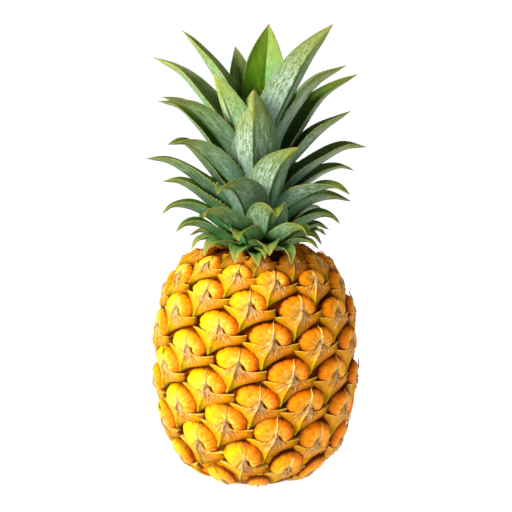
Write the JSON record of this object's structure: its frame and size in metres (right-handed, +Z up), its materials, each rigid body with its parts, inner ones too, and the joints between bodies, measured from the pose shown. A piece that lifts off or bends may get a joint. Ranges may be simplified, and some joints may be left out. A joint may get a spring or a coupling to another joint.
{
  "type": "pineapple",
  "caption": "Whole ripe pineapple with its leafy crown, standing upright on the small flat spot at its base, with the cut stem end showing underneath.",
  "frame": {"origin": "centre of the flat resting spot under the fruit, on the cut stem end", "axes": "+Z up through the fruit and crown, -Y towards the side seen in the picture"},
  "size_m": [0.122, 0.1136, 0.2576],
  "materials": {
    "fruit_skin": "waxy golden skin, satin, dry papery bract tips",
    "cut_stem": "dry fibrous cut",
    "crown_stem": "matte",
    "leaf_base_green": "satin",
    "leaf_green": "satin with a whitish bloom underneath",
    "leaf_top_green": "satin with a whitish bloom underneath"
  },
  "bodies": {
    "root": {"fruit_body": "fruit_skin", "peduncle_stub": "cut_stem", "crown_stem": "crown_stem", "leaf_01": "leaf_base_green", "leaf_02": "leaf_base_green", "leaf_03": "leaf_base_green", "leaf_04": "leaf_base_green", "leaf_05": "leaf_base_green", "leaf_06": "leaf_base_green", "leaf_07": "leaf_base_green", "leaf_08": "leaf_base_green", "leaf_09": "leaf_base_green", "leaf_10": "leaf_base_green", "leaf_11": "leaf_base_green", "leaf_12": "leaf_base_green", "leaf_13": "leaf_base_green", "leaf_14": "leaf_base_green", "leaf_15": "leaf_green", "leaf_16": "leaf_green", "leaf_17": "leaf_green", "leaf_18": "leaf_green", "leaf_19": "leaf_green", "leaf_20": "leaf_green", "leaf_21": "leaf_green", "leaf_22": "leaf_green", "leaf_23": "leaf_green", "leaf_24": "leaf_green", "leaf_25": "leaf_green", "leaf_26": "leaf_green", "leaf_27": "leaf_green", "leaf_28": "leaf_green", "leaf_29": "leaf_green", "leaf_30": "leaf_green", "leaf_31": "leaf_green", "leaf_32": "leaf_green", "leaf_33": "leaf_green", "leaf_34": "leaf_green", "leaf_35": "leaf_green", "leaf_36": "leaf_green", "leaf_37": "leaf_green", "leaf_38": "leaf_green", "leaf_39": "leaf_green", "leaf_40": "leaf_green", "leaf_41": "leaf_green", "leaf_42": "leaf_top_green", "leaf_43": "leaf_top_green", "leaf_44": "leaf_top_green", "leaf_45": "leaf_top_green", "leaf_46": "leaf_top_green", "leaf_47": "leaf_top_green", "leaf_48": "leaf_top_green", "leaf_49": "leaf_top_green", "leaf_50": "leaf_top_green", "leaf_51": "leaf_top_green", "leaf_52": "leaf_top_green", "leaf_53": "leaf_top_green", "leaf_54": "leaf_top_green", "leaf_55": "leaf_top_green", "leaf_56": "leaf_top_green"}
  },
  "joints": []
}
